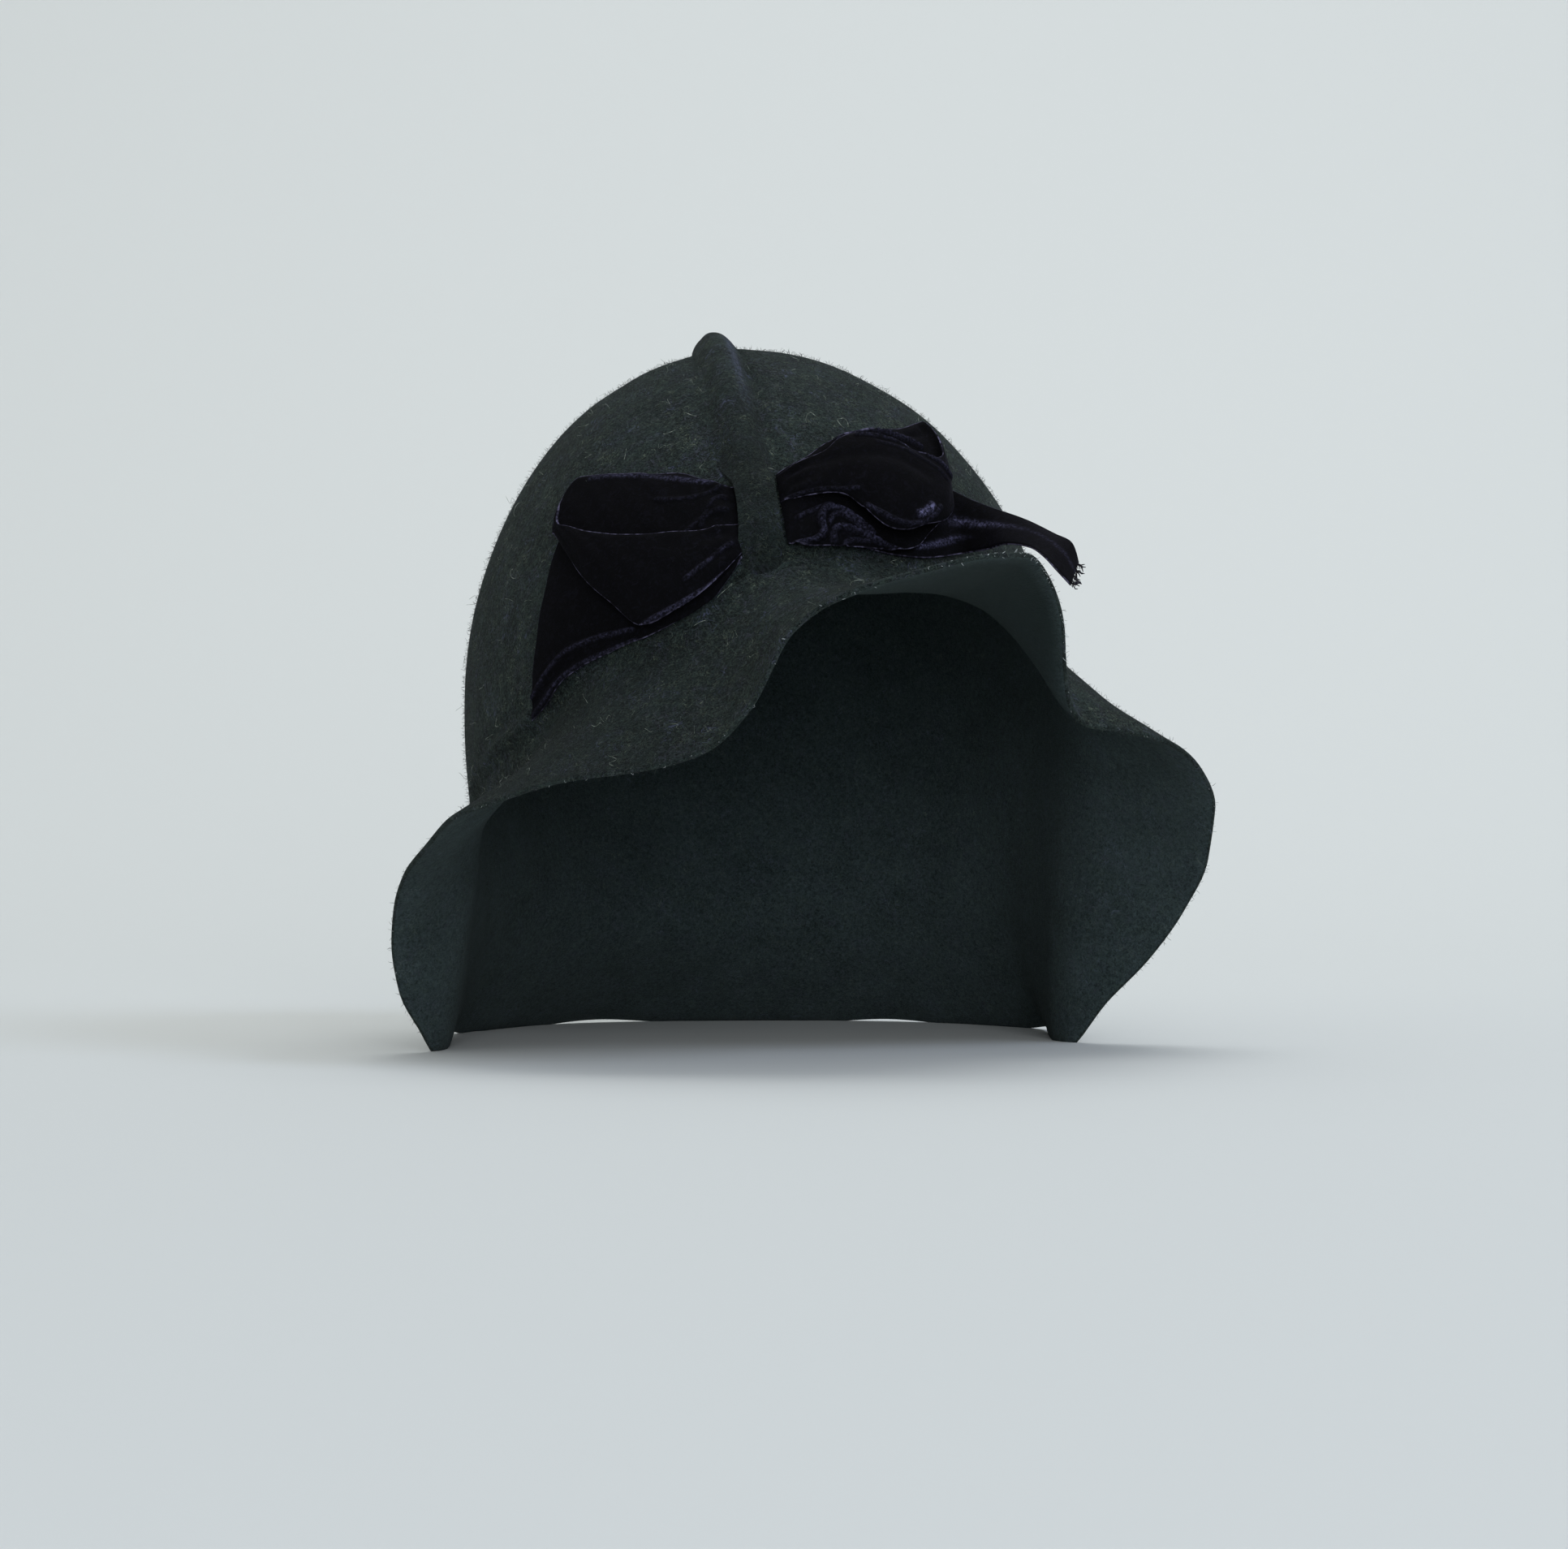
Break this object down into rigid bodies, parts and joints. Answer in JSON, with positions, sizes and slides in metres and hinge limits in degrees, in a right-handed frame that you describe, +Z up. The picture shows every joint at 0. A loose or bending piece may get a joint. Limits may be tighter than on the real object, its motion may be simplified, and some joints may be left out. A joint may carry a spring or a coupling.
{
  "type": "cloche hat",
  "caption": "Felt cloche hat with a domed crown, a turned-up front brim, side lobes that dip to the shoulder line and a velvet ribbon bow gathered under a stitched felt ridge; worn on the head",
  "frame": {"origin": "middle of the outline in plan, on the surface that the brim's resting edge stands on", "axes": "+Z up, -Y towards the wearer's front where the brim turns up, +X to the viewer's right as seen from the front; lengths along Y are the longest and along Z the shortest"},
  "size_m": [0.2148, 0.2284, 0.1937],
  "materials": {
    "wool_felt": "napped wool felt, matt, fuzzy",
    "velvet_ribbon": "velvet pile ribbon, dark with a violet sheen"
  },
  "bodies": {
    "root": {"felt_body": "wool_felt", "crown_ridge": "wool_felt", "bow_loop_left": "velvet_ribbon", "bow_tail_left": "velvet_ribbon", "bow_loop_right": "velvet_ribbon", "bow_tail_right": "velvet_ribbon"}
  },
  "joints": []
}
